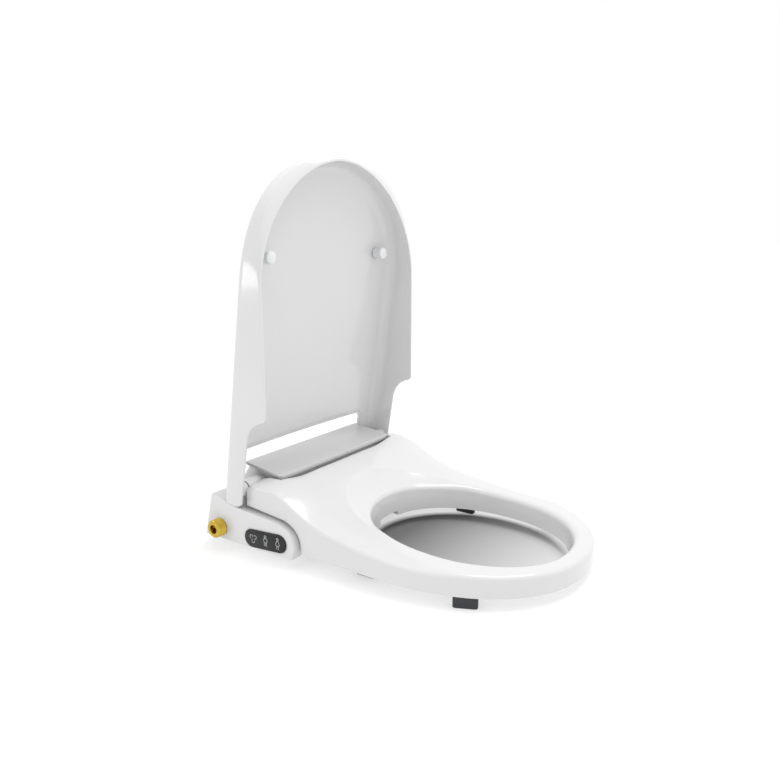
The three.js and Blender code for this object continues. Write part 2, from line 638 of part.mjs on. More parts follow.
// ---------- quick release and mounting plate ----------
const RELEASE = { y: -60, z: 32 };
add("release_button", rod("x", 9, 176, 187, RELEASE.y, RELEASE.z), WHITE);
add("release_latch", box([150, 175.6], [RELEASE.y - 5, RELEASE.y + 5], [22, 36]), GREY);

const MOUNT = { half: 92, depth: 45, slot: [62, 85], bolt: 4.5 };
const slots = SIDES.map(([, side]) => upright(
  roundedRectangle(span(side, MOUNT.slot[0], MOUNT.slot[1]), [-MOUNT.bolt, MOUNT.bolt], 4.4), -5, 12));
const plateBody = join(
  box([-MOUNT.half, MOUNT.half], [-MOUNT.depth, MOUNT.depth], [1.8, 8]),
  box([-MOUNT.half - 6, MOUNT.half + 6], [-MOUNT.depth, MOUNT.depth], [5, 8]),
);
add("mounting_plate", cut(plateBody, ...slots), GREY);
const pad = box([-MOUNT.half + 2, MOUNT.half - 2], [-MOUNT.depth + 2, MOUNT.depth - 2], [0, 1.4]);
add("mounting_pad", cut(pad, ...slots), RUBBER);
for (const [name, side] of SIDES) {
  const rail = join(
    box(span(side, MOUNT.half + 6.6, MOUNT.half + 10), [-50, 50], [1.6, 11.3]),
    box(span(side, MOUNT.half + 1, MOUNT.half + 8), [-50, 50], [1.6, 4.4]),
  );
  add("guide_rail_" + name, rail, GREY);
}

export default root;
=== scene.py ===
# %% [markdown]
# # An electric bidet seat
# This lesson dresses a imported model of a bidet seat: a deep lid that stands open, a heated
# seat ring, and a base that holds the water, air and electric parts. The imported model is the
# frame. It gives every piece its real place and size in metres, and it knows how each joint
# moves. Here the frame's coarse white shells are replaced by smooth ones, and every other
# piece gets the finish that its real material has.

# %% Load the frame
import json
import math

import bmesh
import bpy
from mathutils import Matrix, Vector

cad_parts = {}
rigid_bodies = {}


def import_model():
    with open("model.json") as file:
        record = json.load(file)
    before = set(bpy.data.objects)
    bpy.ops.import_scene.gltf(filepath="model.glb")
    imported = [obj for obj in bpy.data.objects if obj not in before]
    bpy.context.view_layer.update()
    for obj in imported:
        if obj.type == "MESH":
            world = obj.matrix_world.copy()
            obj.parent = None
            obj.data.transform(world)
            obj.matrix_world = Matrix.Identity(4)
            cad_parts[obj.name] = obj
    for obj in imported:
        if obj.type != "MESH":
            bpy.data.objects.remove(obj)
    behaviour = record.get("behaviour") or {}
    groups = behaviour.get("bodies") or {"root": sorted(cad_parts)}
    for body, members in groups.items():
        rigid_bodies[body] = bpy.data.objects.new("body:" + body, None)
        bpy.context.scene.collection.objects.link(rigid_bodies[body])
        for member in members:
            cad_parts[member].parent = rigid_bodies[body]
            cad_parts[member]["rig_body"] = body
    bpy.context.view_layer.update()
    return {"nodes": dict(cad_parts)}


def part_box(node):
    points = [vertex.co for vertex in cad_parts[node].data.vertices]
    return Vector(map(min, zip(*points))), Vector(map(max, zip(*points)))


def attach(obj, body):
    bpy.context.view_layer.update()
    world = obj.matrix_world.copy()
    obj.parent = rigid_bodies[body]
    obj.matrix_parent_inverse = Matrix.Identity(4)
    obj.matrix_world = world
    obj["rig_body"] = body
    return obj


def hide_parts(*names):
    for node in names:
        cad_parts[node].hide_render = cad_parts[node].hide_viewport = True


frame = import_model()
nodes = frame["nodes"]
MM = 0.001

# %% [markdown]
# ## Camera
# The camera stands at the user's right front, a little above the seat, about 1.1 m away.
# It is made first, because everything after it is judged through it.

# %% Camera
scene = bpy.context.scene


def look_at(thing, place, target):
    thing.location = place
    thing.rotation_euler = (Vector(target) - Vector(place)).to_track_quat("-Z", "Y").to_euler()


camera = bpy.data.objects.new("camera", bpy.data.cameras.new("camera"))
scene.collection.objects.link(camera)
camera.data.lens = 33.83
camera.data.sensor_width = 36
look_at(camera, (-0.8877, -0.7463, 0.4544), (0.0015, -0.1463, 0.2252))
scene.camera = camera

# %% [markdown]
# ## Floor, walls of light and lamps
# A product like this is lit in a white tent: light comes from everywhere, with one large soft
# lamp overhead and a small one behind, aimed at the side of the lid. A bright world stands for
# the tent. The floor's finish, white acrylic lit from below, comes with the shells' finishes.

# %% Floor and light
scene.view_settings.view_transform = "Standard"

world = bpy.data.worlds.new("white_tent")
scene.world = world
world.use_nodes = True
world.node_tree.nodes["Background"].inputs["Color"].default_value = (1, 1, 1, 1)
world.node_tree.nodes["Background"].inputs["Strength"].default_value = 1.0

bpy.ops.mesh.primitive_plane_add(size=60, location=(0, 0, -0.0005))
floor = bpy.context.object
floor.name = "floor"


def soft_lamp(name, place, target, size, watts):
    lamp = bpy.data.lights.new(name, "AREA")
    lamp.shape = "RECTANGLE"
    lamp.size, lamp.size_y = size
    lamp.energy = watts
    holder = bpy.data.objects.new(name, lamp)
    scene.collection.objects.link(holder)
    look_at(holder, place, target)
    return holder


MIDDLE = (0, -0.15, 0.15)
soft_lamp("key_lamp", (0.5, -0.55, 2.2), MIDDLE, (1.2, 1.2), 24)
soft_lamp("side_lamp", (-1.31, 1.11, 0.44), (-0.185, -0.03, 0.44), (0.6, 0.3), 2.4)
print("camera at", [round(v, 3) for v in camera.location])

# %% [markdown]
# ## A helper for materials
# Each finish is a small node tree. One function adds a node with its settings and its links,
# so a material reads as a list of what its surface does. Colours are written as sRGB hex,
# the way a paint or plastics supplier gives them, and turned to linear in one place.


# %% Material helpers
def linear(hex_colour):
    """An sRGB hex colour as linear red, green, blue and alpha."""
    values = [int(hex_colour[i : i + 2], 16) / 255 for i in (1, 3, 5)]
    return [v / 12.92 if v <= 0.04045 else ((v + 0.055) / 1.055) ** 2.4 for v in values] + [1]


def node(tree, kind, settings=None, **inputs):
    """Adds a node. A pair (node, output name) links an input; anything else sets it."""
    made = tree.nodes.new(kind)
    for name, value in (settings or {}).items():
        setattr(made, name, value)
    for name, value in inputs.items():
        socket = made.inputs[int(name[1:])] if name[1:].isdigit() else made.inputs[name.replace("_", " ")]
        if isinstance(value, tuple) and len(value) == 2 and hasattr(value[0], "outputs"):
            tree.links.new(value[0].outputs[value[1]], socket)
        else:
            socket.default_value = value
    return made


def material(name):
    """An empty material: its tree, its shader and the Object coordinates for its patterns."""
    made = bpy.data.materials.new(name)
    made.use_nodes = True
    tree = made.node_tree
    shader = tree.nodes["Principled BSDF"]
    place = node(tree, "ShaderNodeTexCoord")
    return made, tree, shader, (place, "Object")


def link(tree, source, target, socket):
    tree.links.new(source[0].outputs[source[1]], target.inputs[socket])


# %% [markdown]
# ## White glossy ABS
# The lid, the seat ring and the base are injection moulded from glossy white ABS, a plastic
# with an index of about 1.54. The mould is polished, so the sheen is even, but a large moulding
# is never quite flat: it keeps a faint waviness 40 to 80 mm long, which only bends reflections.
# A very slight cloud in the roughness stands for handling marks.


# %% White glossy ABS
def moulded_abs(name, light, dark, roughness, wave=0.06):
    made, tree, shader, place = material(name)
    cloud = node(tree, "ShaderNodeTexNoise", Vector=place, Scale=9.0, Detail=2.0)
    tint = node(
        tree, "ShaderNodeMix", {"data_type": "RGBA"}, Factor=(cloud, "Fac"), i6=linear(light), i7=linear(dark)
    )
    link(tree, (tint, 2), shader, "Base Color")
    gloss = node(
        tree, "ShaderNodeMapRange", Value=(cloud, "Fac"), To_Min=roughness * 0.85, To_Max=roughness * 1.2
    )
    link(tree, (gloss, "Result"), shader, "Roughness")
    swell = node(tree, "ShaderNodeTexNoise", Vector=place, Scale=16.0, Detail=1.0)
    bump = node(tree, "ShaderNodeBump", Height=(swell, "Fac"), Strength=wave, Distance=0.001)
    link(tree, (bump, "Normal"), shader, "Normal")
    shader.inputs["IOR"].default_value = 1.54
    return made


white_abs = moulded_abs("abs_white_glossy", "#d6d6d6", "#d2d2d2", 0.12)
# The cover plate's white ABS: a satin gloss, and a darker colour that is painted shade from the open lid over
# it.
plate_abs_painted_shade = moulded_abs("abs_white_satin_painted_shade", "#bebebe", "#bababa", 0.28)

floor_paint, tree, shader, place = material("acrylic_table_white_painted_shade")
grain = node(tree, "ShaderNodeTexNoise", Vector=place, Scale=3.0)
paint = node(
    tree,
    "ShaderNodeMix",
    {"data_type": "RGBA"},
    Factor=(grain, "Fac"),
    i6=linear("#bcbcbc"),
    i7=linear("#bababa"),
)
shader.inputs["Roughness"].default_value = 0.9
shader.inputs["Specular IOR Level"].default_value = 0.0
# Painted shade on the floor where it shows through the ring, standing in for the shaded inside of a bowl: an
# ellipse whose colour darkens towards the back.
PAINTED_SHADE = {"x": 0.012, "y": -0.275, "half": 0.14, "length": 0.158}
centred = node(
    tree,
    "ShaderNodeMapping",
    Vector=place,
    Location=(-PAINTED_SHADE["x"] / PAINTED_SHADE["half"], -PAINTED_SHADE["y"] / PAINTED_SHADE["length"], 0),
    Scale=(1 / PAINTED_SHADE["half"], 1 / PAINTED_SHADE["length"], 0),
)
distance = node(tree, "ShaderNodeVectorMath", {"operation": "LENGTH"}, i0=(centred, "Vector"))
painted_shade_mask = node(
    tree, "ShaderNodeMapRange", Value=(distance, "Value"), From_Min=0.9, From_Max=1.0, To_Min=1, To_Max=0
)
axes = node(tree, "ShaderNodeSeparateXYZ", Vector=place)
depth = node(tree, "ShaderNodeMapRange", Value=(axes, "Y"), From_Min=-0.42, From_Max=-0.17)
shade = node(
    tree,
    "ShaderNodeMix",
    {"data_type": "RGBA"},
    Factor=(depth, "Result"),
    i6=linear("#d2d2d2"),
    i7=linear("#6e6e6e"),
)
surface = node(
    tree, "ShaderNodeMix", {"data_type": "RGBA"}, Factor=(painted_shade_mask, "Result"), i6=(paint, 2), i7=(shade, 2)
)
link(tree, (surface, 2), shader, "Base Color")
# The table round the painted shade is acrylic lit from below, so shadows on it stay faint; the painted shade
# itself gets no glow.
glow = node(tree, "ShaderNodeMapRange", Value=(painted_shade_mask, "Result"), To_Min=0.52, To_Max=0.0)
shader.inputs["Emission Color"].default_value = (1, 1, 1, 1)
link(tree, (glow, "Result"), shader, "Emission Strength")
floor.data.materials.append(floor_paint)

# %% [markdown]
# ## Shell tools
# The white shells are lofts: closed loops of points, one after another, joined by faces. A loft
# keeps a mould's smooth curves, and a Boolean then trims it as the tool that made it would.
# The helpers make a mesh from loops, cut or join one mesh with another, and finish a piece
# with the small radius that every moulded edge has.


# %% Shell tools
def new_piece(name, vertices, faces):
    mesh = bpy.data.meshes.new(name)
    mesh.from_pydata([Vector(v) * MM for v in vertices], [], faces)
    mesh.validate()
    shell = bmesh.new()
    shell.from_mesh(mesh)
    bmesh.ops.remove_doubles(shell, verts=shell.verts, dist=1e-6)
    bmesh.ops.recalc_face_normals(shell, faces=shell.faces)
    shell.to_mesh(mesh)
    shell.free()
    piece = bpy.data.objects.new(name, mesh)
    scene.collection.objects.link(piece)
    return piece


def loft(name, loops, ring=False):
    """Faces between loops of equal length. A ring's last loop meets its first; others get end caps."""
    count, rows = len(loops[0]), len(loops)
    faces = []
    for i in range(rows if ring else rows - 1):
        for j in range(count):
            k, n = (j + 1) % count, (i + 1) % rows
            faces.append((i * count + j, i * count + k, n * count + k, n * count + j))
    if not ring:
        faces += [tuple(reversed(range(count))), tuple((rows - 1) * count + j for j in range(count))]
    return new_piece(name, [p for loop in loops for p in loop], faces)


def prism(name, outline, x0, x1):
    """A (y, z) outline extruded along X."""
    return loft(name, [[(x, y, z) for y, z in outline] for x in (x0, x1)])


def block(name, x, y, z, radius=0.0, segments=4):
    """A box, its upright corners rounded."""
    corners = [(x[1], y[1], 0), (x[0], y[1], 90), (x[0], y[0], 180), (x[1], y[0], 270)]
    outline = []
    for cx, cy, start in corners:
        steps = segments if radius else 0
        for i in range(steps + 1):
            angle = math.radians(start + (90 * i / steps if steps else 45))
            ox = cx - math.copysign(radius, cx - (x[0] + x[1]) / 2)
            oy = cy - math.copysign(radius, cy - (y[0] + y[1]) / 2)
            outline.append((ox + radius * math.cos(angle), oy + radius * math.sin(angle)))
    return loft(name, [[(a, b, h) for a, b in outline] for h in z])


def rod(name, radius, x0, x1, y, z, sides=48):
    """A round bar along X."""
    turns = [2 * math.pi * i / sides for i in range(sides)]
    circle = [(y + radius * math.cos(turn), z + radius * math.sin(turn)) for turn in turns]
    return prism(name, circle, x0, x1)


def apply_modifiers(piece):
    graph = bpy.context.evaluated_depsgraph_get()
    mesh = bpy.data.meshes.new_from_object(piece.evaluated_get(graph))
    piece.modifiers.clear()
    piece.data = mesh


def combine(piece, others, operation):
    """Cuts others from a piece, or joins them to it, and uses them up."""
    for other in others:
        modifier = piece.modifiers.new("combine", "BOOLEAN")
        modifier.operation = operation
        modifier.object = other
        modifier.solver = "EXACT"
        apply_modifiers(piece)
        bpy.data.objects.remove(other)
    return piece


def finish(piece, finish_material, edge=0.8, angle=30, segments=3):
    """Rounds the sharp edges, smooths the shading and sets the finish."""
    shell = bmesh.new()
    shell.from_mesh(piece.data)
    bmesh.ops.remove_doubles(shell, verts=shell.verts, dist=2e-5)
    bmesh.ops.dissolve_degenerate(shell, dist=2e-5, edges=shell.edges)
    shell.to_mesh(piece.data)
    shell.free()
    if edge:
        bevel = piece.modifiers.new("edge", "BEVEL")
        bevel.width, bevel.segments = edge * MM, segments
        bevel.limit_method, bevel.angle_limit = "ANGLE", math.radians(angle)
        bevel.use_clamp_overlap = True
        apply_modifiers(piece)
    piece.data.materials.clear()
    piece.data.materials.append(finish_material)
    for face in piece.data.polygons:
        face.use_smooth = True
    piece.data.set_sharp_from_angle(angle=math.radians(40))
    print(piece.name, len(piece.data.polygons), "faces")
    return piece


def mix(a, b, t):
    return a + (b - a) * t


def step(a, b, v):
    t = min(1, max(0, (v - a) / (b - a)))
    return t * t * (3 - 2 * t)


def along(table, at):
    """A smooth curve through a few points, read at one place."""
    if at <= table[0][0]:
        return table[0][1]
    if at >= table[-1][0]:
        return table[-1][1]
    last = len(table) - 1
    i = next(k for k in range(last) if table[k + 1][0] > at)
    (x0, v0), (x1, v1) = table[i], table[i + 1]

    def slope(k):
        if last == 1:
            return 0
        before, after = table[max(k - 1, 0)], table[min(k + 1, last)]
        return (after[1] - before[1]) / (after[0] - before[0])

    length = x1 - x0
    t = (at - x0) / length
    start, end = slope(i) * length, slope(i + 1) * length
    near = (2 * t**3 - 3 * t * t + 1) * v0 + (t**3 - 2 * t * t + t) * start
    return near + (3 * t * t - 2 * t**3) * v1 + (t**3 - t * t) * end


# %% [markdown]
# ## The lid
# The lid is one deep moulding: a crowned back, a wall round it, and two arms that run down to
# the hinge. Its body is squarer at the shoulders than its front edge, so a sloping band lies
# between the two. It could be modelled as a box with subdivision, but its outline is a rule,
# a flattened arch on two straight sides, so a loft of that rule keeps the curve exact.
# The outside and the hollow are two lofts, and the second is cut from the first.

# %% Sizes of the lid
PIVOT = (-3.0, 91.0)  # the hinge line's y and z
low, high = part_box("lid_shell")
LID_HALF, LID_TOP = high.x / MM, high.z / MM
LID_WALL = 2.8
STRAIGHT_TOP = 384.0
BODY = {"top": LID_TOP, "power": 2.4}
RIM = {"top": LID_TOP - 3, "power": 1.9}
RIM_Y = low.y / MM
RIM_BAND = 6.0
LID_EDGE, LID_FILLET = 14.0, 17.0
LID_CROWN = 9.0
LID_BACK = [(60, 26.5), (562, -46.5)]  # the leaning back's (z, y), low and high


def lid_outline(inwards, bottom, arch, count=96):
    half, rise = LID_HALF - inwards, arch["top"] - STRAIGHT_TOP - inwards
    sides = [bottom + (STRAIGHT_TOP - bottom) * i / 16 for i in range(16)]
    points = [(half, z) for z in sides]
    for i in range(count + 1):
        c, s = math.cos(math.pi * i / count), math.sin(math.pi * i / count)
        x = half * math.copysign(abs(c) ** (2 / arch["power"]), c)
        points.append((x, STRAIGHT_TOP + rise * abs(s) ** (2 / arch["power"])))
    return points + [(-half, z) for z in reversed(sides)]


def lid_back(x, z):
    (foot_z, foot_y), (head_z, head_y) = LID_BACK
    slope = (z - foot_z) / (head_z - foot_z)
    return mix(foot_y, head_y, slope) + LID_CROWN * (1 - (x / LID_HALF) ** 2)


def lid_body(name, fronts, wall, radius, bottom, arch):
    loops = [[(x, y, z) for x, z in lid_outline(wall, bottom, shape)] for y, shape in fronts]
    for i in range(9):
        angle = math.radians(90 * i / 8)
        inwards, drop = radius * (1 - math.cos(angle)), radius * (1 - math.sin(angle))
        loops.append(
            [(x, lid_back(x, z) - wall - drop, z) for x, z in lid_outline(wall + inwards, bottom, arch)]
        )
    for inwards in (35, 60, 90, 120, 150):
        loops.append([(x, lid_back(x, z) - wall, z) for x, z in lid_outline(wall + inwards, bottom, arch)])
    return loft(name, loops)


# %% [markdown]
# ## Trimming the lid
# Seen from the side, the wall narrows from its deep part down to the slim arm. A prism of that
# outline, cut across the whole lid, trims both arms at once, so they are sure to match.

# %% The lid's trimming outlines
ARM_FOOT = (1.8, 70.0)
# The front edge of wall and arm, from the deep wall down to the slim arm, in (y, z).
FRONT_EDGE = [
    (-68, 207), (-67, 204.5), (-65, 202.8), (-61.5, 201.3), (-56, 199.5), (-50, 196.8), (-43.5, 192),
    (-37.5, 185.5), (-33.2, 178), (-30.6, 170), (-29, 160), (-15.3, 73.6),
]
WINDOW = {"half": 142.0, "top": 140.0, "corner": 8.0, "margin": 5.0}
BOSS_RADIUS, BORE_RADIUS = 12.0, 8.4


def upright(name, half, bottom, top, corner):
    """A block that stands across the lid, its corners rounded as seen from the front."""
    made = block(name, (-half, half), (bottom, top), (-100, 100), corner, 6)
    made.data.transform(Matrix.Rotation(math.radians(90), 4, "X"))
    return made


def lid_shell():
    below = [(-100, 30), (-100, 207), *FRONT_EDGE]
    radius = PIVOT[1] - ARM_FOOT[1] + 0.3
    for degrees in range(238, 274, 4):
        angle = math.radians(degrees)
        below.append((PIVOT[0] + radius * math.cos(angle), PIVOT[1] + radius * math.sin(angle)))
    below += [ARM_FOOT, (70, 85), (70, 30)]
    window = upright("window", WINDOW["half"], 20, WINDOW["top"], WINDOW["corner"])
    body = lid_body("lid_cover", [(RIM_Y, RIM), (RIM_Y + RIM_BAND, BODY)], 0, LID_EDGE, 50, BODY)
    hollow = lid_body("hollow", [(RIM_Y - 5, RIM)], LID_WALL, LID_FILLET, 45, RIM)
    recess = lid_body("recess", [(RIM_Y - 5, RIM)], LID_WALL - 1.2, LID_FILLET, 45, RIM)
    margin = WINDOW["margin"]
    around = upright("around", WINDOW["half"] + margin, 15, WINDOW["top"] + 6, WINDOW["corner"] + margin)
    combine(recess, [around], "INTERSECT")
    combine(body, [hollow, recess, prism("trim", below, -200, 200), window], "DIFFERENCE")
    combine(body, [rod("boss", BOSS_RADIUS, s * 168, s * 183.5, *PIVOT) for s in (-1, 1)], "UNION")
    combine(body, [rod("bore", BORE_RADIUS, s * 160, s * 181, *PIVOT) for s in (-1, 1)], "DIFFERENCE")
    return body


lid_cover = finish(lid_shell(), white_abs, 0.9)
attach(lid_cover, "lid")
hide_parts("lid_shell")

# %% [markdown]
# ## The seat ring
# The ring is a ring-shaped loft too. Each loop is one slice through it, from the outside wall
# over the crowned top to the lip of the opening and down again. Its height follows two curves
# along the seat, one in the middle and one on the shoulders that rise to the hinge at the back.
# Behind the opening the top dips in a broad scoop.

# %% Sizes of the seat
SEAT = {"half": 175.0, "rear": -17.0, "straight": -230.0, "front": -460.0, "power": 2.2}
OPENING = {"half": 121.0, "middle": -286.0, "length": 146.0, "power": 2.2, "taper": 5.0}
SCOOP = {"lip": 9.0, "lip_depth": 4.0, "rear": 45.0, "rear_depth": 11.0}
SHOULDER = [(-463, 37), (-400, 39), (-300, 43), (-230, 49), (-168, 58.5), (-140, 66), (-113, 77),
            (-80, 95), (-46, 103), (-17, 98)]
SEAT_MIDDLE = [(-463, 42), (-300, 50), (-230, 54), (-168, 62), (-140, 69.5), (-113, 80),
               (-80, 95), (-55, 101.5), (-17, 101.5)]
SEAT_UNDER = [(-463, 15), (-118, 20)]
SEAT_CLEAR_R, SEAT_REACH, SEAT_WALL = 52.5, 142.0, 3.0
OVER_BASE = [(-118, -20), (-118, 24), (-116.5, 36), (-114.5, 43), (-111, 49), (-106.5, 54), (-101, 58),
             (-94.5, 61.3), (-87, 63.6), (-8.6, 72), (40, 83), (40, -20)]
OVER_WANDS = [(-170, -20), (-170, 20), (-142, 27), (-112, 38), (-90, 44), (-90, -20)]


def inside_seat(x, y):
    if abs(x) > SEAT["half"] or y > SEAT["rear"]:
        return False
    if y >= SEAT["straight"]:
        return True
    depth = (SEAT["straight"] - y) / (SEAT["straight"] - SEAT["front"])
    return (abs(x) / SEAT["half"]) ** SEAT["power"] + depth ** SEAT["power"] <= 1


def seat_edge(angle):
    low, high = 0.0, 500.0
    for _ in range(40):
        r = (low + high) / 2
        if inside_seat(r * math.cos(angle), OPENING["middle"] + r * math.sin(angle)):
            low = r
        else:
            high = r
    return low


def opening_edge(angle):
    c, s, p = abs(math.cos(angle)), abs(math.sin(angle)), OPENING["power"]
    return ((c / OPENING["half"]) ** p + (s / OPENING["length"]) ** p) ** (-1 / p)


def scoop_share(angle):
    """1 straight behind the opening, 0 from 30 degrees before the seat's side on."""
    return max(0, 2 * math.sin(angle) - 1) ** 1.5


def scoop_rim(angle):
    return opening_edge(angle) + mix(SCOOP["lip"], SCOOP["rear"], scoop_share(angle))


def scoop(x, y):
    angle = math.atan2(y - OPENING["middle"], x)
    length, share = math.hypot(x, y - OPENING["middle"]), scoop_share(angle)
    near = (scoop_rim(angle) - length) / mix(SCOOP["lip"], SCOOP["rear"], share)
    return mix(SCOOP["lip_depth"], SCOOP["rear_depth"], share) * min(1, max(0, near)) ** mix(1.2, 0.75, share)


def seat_top(x, y):
    width = abs(x)
    side = along(SHOULDER, y) + 5 * step(0, 30, SEAT["half"] - width)
    return mix(along(SEAT_MIDDLE, y), side, step(90, 150, width)) - scoop(x, y)


# %% [markdown]
# ## Slices round the ring
# A slice is taken along each direction from the middle of the opening. Two directions are moved
# onto the rear corners, so that the corners stay sharp and the back edge stays straight.

# %% Slices of the seat ring
def seat_directions(count=176):
    corner = math.atan2(SEAT["rear"] - OPENING["middle"], SEAT["half"])
    angles = [2 * math.pi * i / count for i in range(count)]
    for exact in (corner, math.pi - corner):
        nearest = min(range(count), key=lambda i: abs(angles[i] - exact))
        angles[nearest] = exact
    return angles


def seat_ring(name, wall, drop, bottom_drop, edge, lip, taper):
    """A ring under the seat's top surface, "wall" in from its edges, with rounded shoulders."""
    loops = []
    for angle in seat_directions():
        outer, inner = seat_edge(angle) - wall, opening_edge(angle) + wall
        rim = min(max(scoop_rim(angle), inner + lip + 1), outer - edge - 2)

        def below(r):
            x, y = r * math.cos(angle), OPENING["middle"] + r * math.sin(angle)
            return (x, y, along(SEAT_UNDER, y) + bottom_drop)

        def place(r, under=0.0):
            x, y = r * math.cos(angle), OPENING["middle"] + r * math.sin(angle)
            return (x, y, seat_top(x, y) - drop - under)

        loop = [below(outer)]
        for i in range(6):
            turn = math.radians(90 * i / 5)
            loop.append(place(outer - edge * (1 - math.cos(turn)), under=edge * (1 - math.sin(turn))))
        loop += [place(mix(rim, outer - edge, share)) for share in (0.9, 0.75, 0.6, 0.45, 0.3, 0.15, 0.04, 0)]
        loop += [place(mix(inner + lip, rim, share)) for share in (0.92, 0.75, 0.5, 0.25)]
        for i in range(6):
            turn = math.radians(90 * (1 - i / 5))
            loop.append(place(inner + lip * (1 - math.cos(turn)), under=lip * (1 - math.sin(turn))))
        loop.append(below(inner - taper))
        loops.append(loop)
    return loft(name, loops, ring=True)


def grown(outline, distance):
    """An outline moved outwards."""
    area = sum(a[0] * b[1] - b[0] * a[1] for a, b in zip(outline, outline[1:] + outline[:1]))
    side = -distance * math.copysign(1, area)
    moved = []
    for i, (x, y) in enumerate(outline):
        (px, py), (nx, ny) = outline[i - 1], outline[(i + 1) % len(outline)]
        a = Vector((x - px, y - py)).normalized()
        b = Vector((nx - x, ny - y)).normalized()
        normal = Vector((-a.y - b.y, a.x + b.x)).normalized()
        reach = side / max(0.3, normal.dot(Vector((-a.y, a.x))))
        moved.append((x + normal.x * reach, y + normal.y * reach))
    return moved


def seat_top_cover():
    body = seat_ring("seat_top_cover", 0, 0, 0, 6, 5, OPENING["taper"])
    cuts = [
        rod("behind", SEAT_CLEAR_R, -SEAT_REACH, SEAT_REACH, *PIVOT, 96),
        prism("over_base", OVER_BASE, -200, 200),
        prism("over_wands", OVER_WANDS, -24, 24),
    ]
    combine(body, cuts, "DIFFERENCE")
    hollow = seat_ring("hollow", SEAT_WALL, SEAT_WALL, -6, 3, 2, OPENING["taper"])
    reach = SEAT_REACH + SEAT_WALL
    combine(hollow, [rod("rear_wall", SEAT_CLEAR_R + SEAT_WALL, -reach, reach, *PIVOT, 96)], "DIFFERENCE")
    slots = [block("slot", sorted((s * 147.5, s * 163.5)), (-24, -10), (60, 94)) for s in (-1, 1)]
    return combine(body, [hollow, *slots], "DIFFERENCE")


seat_cover = finish(seat_top_cover(), white_abs, 1.2)
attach(seat_cover, "seat")
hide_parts("seat_top_shell")

# %% [markdown]
# ## The base
# The base is a low moulding as wide as the lid, with a raised block in its middle that carries
# the hinge. Its side view is one smooth line, so it is an outline swept from side to side. The
# outside gets its radius first, and the hollow and the holes are cut after it, so that only
# the outer edges are soft, as a mould makes them.

# %% Outline of the base
BASE_HALF, BLOCK_HALF, BASE_WALL = 184.0, 128.0, 2.5
PIN_HOLE = 5.4
BUTTON_HOLE = {"radius": 9.4, "y": -60, "z": 32}
CORD_HOLE = {"radius": 7.4, "y": 40, "z": 30}
BASE_FRONT = [
    (48, 79.4), (20, 73.3), (-8.6, 67), (-45, 63.5), (-70, 61.2), (-85, 58.6), (-98, 53), (-106.6, 46),
    (-111, 37), (-112.3, 29),
]
BLOCK_SIDE = [(-44, 50), (46, 50), (46, 78), (20, 115.9), (-44, 105.9)]
INLET = {"y": 30.0, "z": 31.0, "radius": 13.2, "neck": 6.6, "bore": 6.7}


def smooth_line(points, steps=4):
    """A smooth curve through points that leaves its two ends where they are."""
    line = []
    for i in range(len(points) - 1):
        before, after = points[max(0, i - 1)], points[min(len(points) - 1, i + 2)]
        for k in range(steps):
            t, point = k / steps, []
            for a, b, c, d in zip(before, points[i], points[i + 1], after):
                bend = (2 * a - 5 * b + 4 * c - d) * t * t + (3 * b - a - 3 * c + d) * t**3
                point.append(0.5 * (2 * b + (c - a) * t + bend))
            line.append(tuple(point))
    return line + [points[-1]]


def bevelled(piece, width, angle=30, segments=4):
    bevel = piece.modifiers.new("radius", "BEVEL")
    bevel.width, bevel.segments = width * MM, segments
    bevel.limit_method, bevel.angle_limit = "ANGLE", math.radians(angle)
    apply_modifiers(piece)
    return piece


def base_cover():
    side = [(-107.5, 11.5), (64, 11.5), *smooth_line(BASE_FRONT)]
    low_part = bevelled(prism("base_cover", side, -BASE_HALF, BASE_HALF), 2.6, 40)
    raised = bevelled(prism("raised", BLOCK_SIDE, -BLOCK_HALF, BLOCK_HALF), 1.5)
    inner = [(y, 5 if z < 20 else z) for y, z in grown(side, -BASE_WALL)]
    inner_block = [(y, 40 if z < 60 else z) for y, z in grown(BLOCK_SIDE, -BASE_WALL)]
    cuts = [
        prism("hollow", inner, -BASE_HALF + BASE_WALL, BASE_HALF - BASE_WALL),
        prism("block_hollow", inner_block, -BLOCK_HALF + BASE_WALL, BLOCK_HALF - BASE_WALL),
        *[rod("pin_hole", PIN_HOLE, s * 118, s * 135, *PIVOT) for s in (-1, 1)],
        block("wand_outlet", (-24, 24), (-130, -104), (18, 44)),
        block("warm_air_outlet", (89, 109), (-130, -104), (21, 35)),
        rod("inlet_hole", INLET["neck"] + 0.3, -190, -175, INLET["y"], INLET["z"]),
        rod("button_hole", BUTTON_HOLE["radius"], 175, 190, BUTTON_HOLE["y"], BUTTON_HOLE["z"]),
        rod("cord_hole", CORD_HOLE["radius"], 175, 190, CORD_HOLE["y"], CORD_HOLE["z"]),
    ]
    return combine(combine(low_part, [raised], "UNION"), cuts, "DIFFERENCE")


base_shell = finish(base_cover(), white_abs, 0)
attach(base_shell, "base")
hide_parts("main_housing")

# %% [markdown]
# ## Finishes for the smaller pieces
# Each finish starts from what the real material is. Rubber scatters light and has a fine dull
# grain. Turned brass shows the lathe's rings across its axis. Stainless tube is drawn, so its
# scratches run along it. Acetal gears and ducts are matt grey, a circuit board is green
# lacquer over glass cloth, and silicone hose is cloudy.


